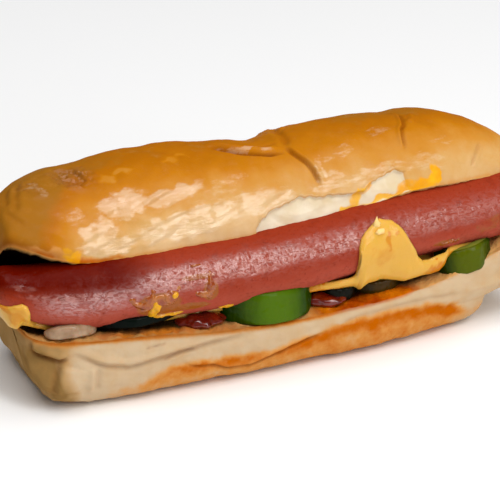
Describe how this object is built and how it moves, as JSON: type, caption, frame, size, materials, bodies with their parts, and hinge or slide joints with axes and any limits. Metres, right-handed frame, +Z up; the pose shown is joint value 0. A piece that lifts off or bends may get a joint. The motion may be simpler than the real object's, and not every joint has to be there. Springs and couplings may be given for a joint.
{
  "type": "hot dog",
  "caption": "Grilled sausage in a side-cut soft bun, with melted cheese, green pepper slices, onion and ketchup showing along its open front.",
  "frame": {"origin": "middle of the outline in plan, on the surface that the bun stands on", "axes": "+X along the bun from the left end to the right one as seen from the open front, +Y from the open front to the uncut back, +Z up"},
  "size_m": [0.1725, 0.058, 0.0604],
  "materials": {
    "bread": "baked crust with a light egg glaze",
    "sausage_skin": "moist smoked skin",
    "melted_cheese": "soft melted processed cheese",
    "green_pepper": "wet pepper skin",
    "onion": "translucent wet onion",
    "ketchup": "thick glossy sauce"
  },
  "bodies": {
    "root": {"bun": "bread", "sausage": "sausage_skin", "cheese": "melted_cheese", "pepper_slice_left": "green_pepper", "pepper_slice_front": "green_pepper", "pepper_slice_dark": "green_pepper", "pepper_slice_edge": "green_pepper", "pepper_slice_right": "green_pepper", "onion_slice": "onion", "ketchup_left": "ketchup", "ketchup_right": "ketchup"}
  },
  "joints": []
}
